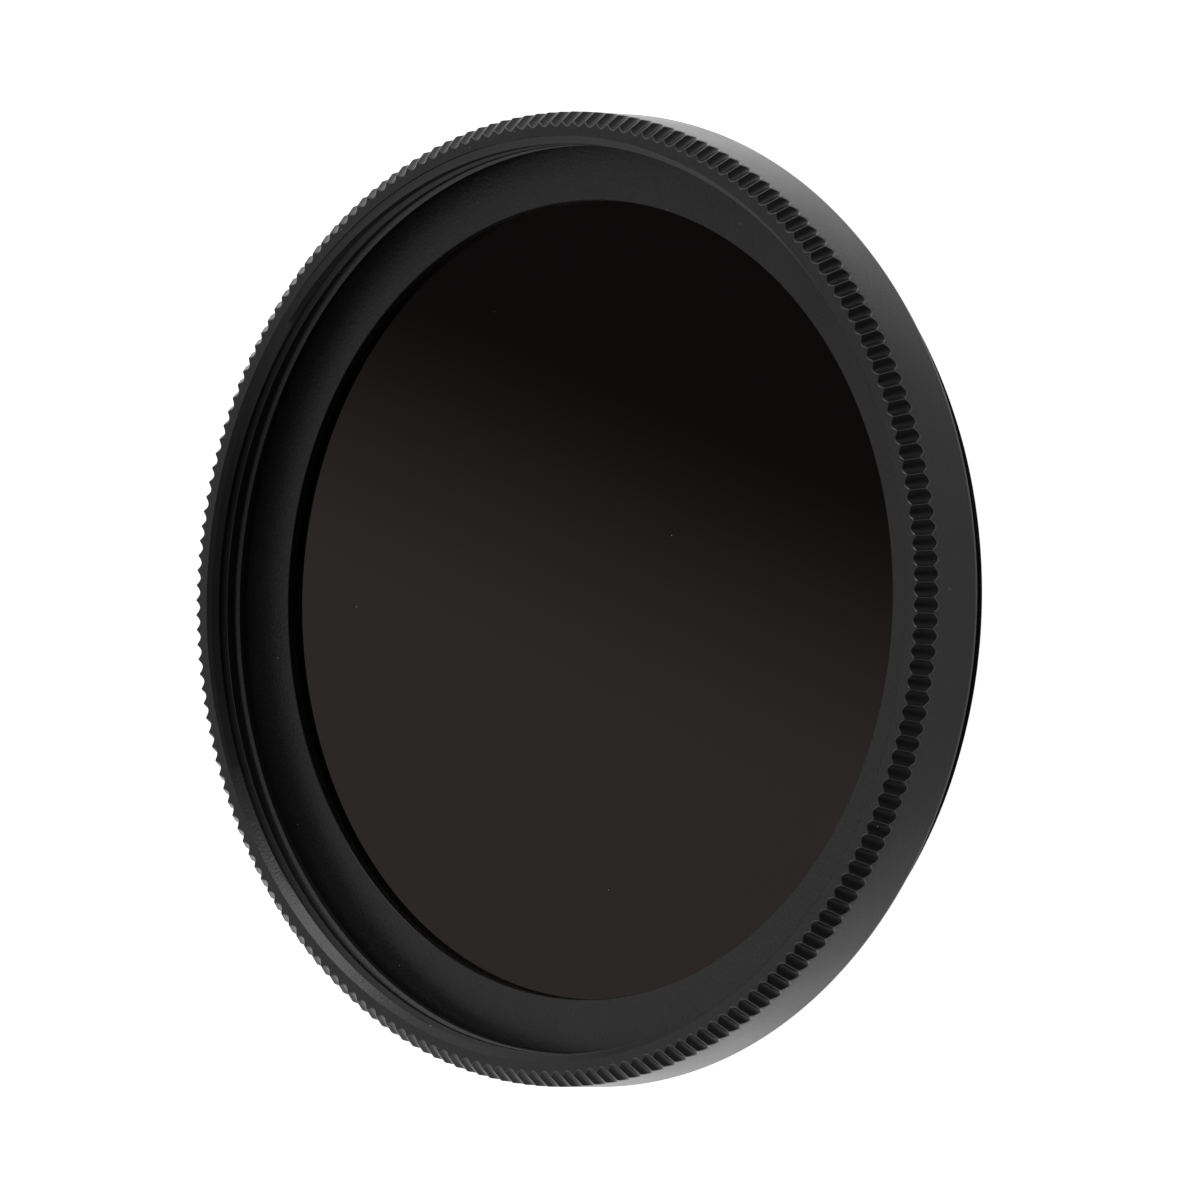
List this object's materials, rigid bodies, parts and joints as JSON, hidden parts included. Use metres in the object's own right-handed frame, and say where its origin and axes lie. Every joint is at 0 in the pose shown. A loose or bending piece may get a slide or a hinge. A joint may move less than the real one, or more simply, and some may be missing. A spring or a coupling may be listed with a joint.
{
  "type": "screw-in lens filter",
  "caption": "Slim round filter for a camera lens: a knurled turned ring, threaded front and rear, that holds a near-black glass.",
  "frame": {"origin": "middle of the rear end of the ring, on the optical axis; the filter lies on this end", "axes": "+Z along the optical axis, out of the front of the filter; X and Y are equal, and the retaining ring's slots lie along X"},
  "size_m": [0.039, 0.039, 0.0051],
  "materials": {
    "anodised_ring": "fine bead-blasted, black anodised, satin",
    "dark_glass": "polished, near-black with a faint red-brown tone",
    "anodised_retainer": "turned, black anodised, satin"
  },
  "bodies": {
    "root": {"filter_ring": "anodised_ring", "filter_glass": "dark_glass", "retaining_ring": "anodised_retainer"}
  },
  "joints": []
}
